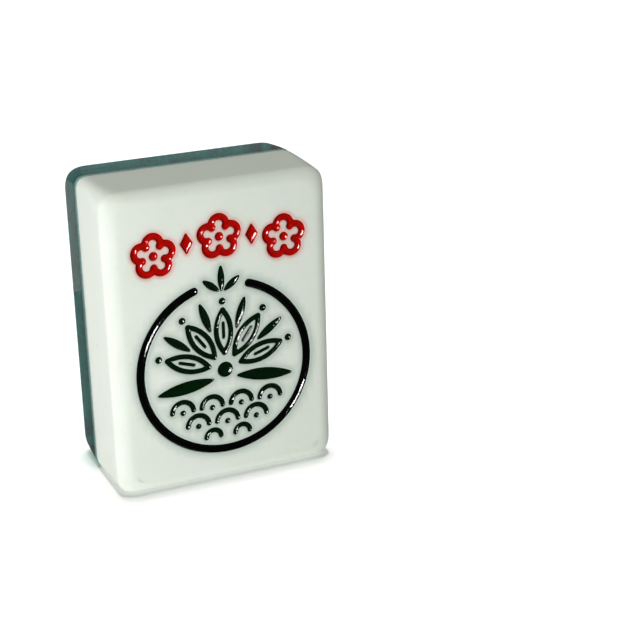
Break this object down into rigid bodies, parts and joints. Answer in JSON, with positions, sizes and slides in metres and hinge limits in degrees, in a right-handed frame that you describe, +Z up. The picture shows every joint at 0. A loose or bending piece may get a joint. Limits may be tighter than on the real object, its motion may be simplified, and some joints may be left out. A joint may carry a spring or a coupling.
{
  "type": "mahjong tile",
  "caption": "Two-layer mahjong tile: white face block with engraved, paint-filled motifs, and a clear back cover over a teal patterned film.",
  "frame": {"origin": "centre of the bottom end face's footprint, where the tile stands on its short end", "axes": "+Z up along the tile's height, +X across its width, -Y out of the engraved face and +Y out of the clear back"},
  "size_m": [0.0222, 0.0132, 0.03],
  "materials": {
    "white_block": "polished ivory-white resin",
    "bond_pale": "translucent pale adhesive sheet",
    "teal_pattern": "printed film with a fine all-over pattern of small rings",
    "clear_cover": "clear polished acrylic",
    "black_paint": "glossy enamel in an engraved channel",
    "red_paint": "glossy enamel in an engraved channel",
    "green_paint": "glossy enamel in an engraved channel"
  },
  "bodies": {
    "root": {"face_block": "white_block", "bond_sheet": "bond_pale", "pattern_film": "teal_pattern", "back_cover": "clear_cover", "ring_paint": "black_paint", "blossom_paint_left": "red_paint", "blossom_paint_middle": "red_paint", "blossom_paint_right": "red_paint", "diamond_paint": "red_paint", "lotus_paint": "green_paint", "vein_paint": "green_paint", "seed_paint": "green_paint", "bud_paint": "green_paint", "leaf_paint": "green_paint", "sprig_paint": "green_paint", "wave_paint": "green_paint", "pearl_paint": "green_paint"}
  },
  "joints": []
}
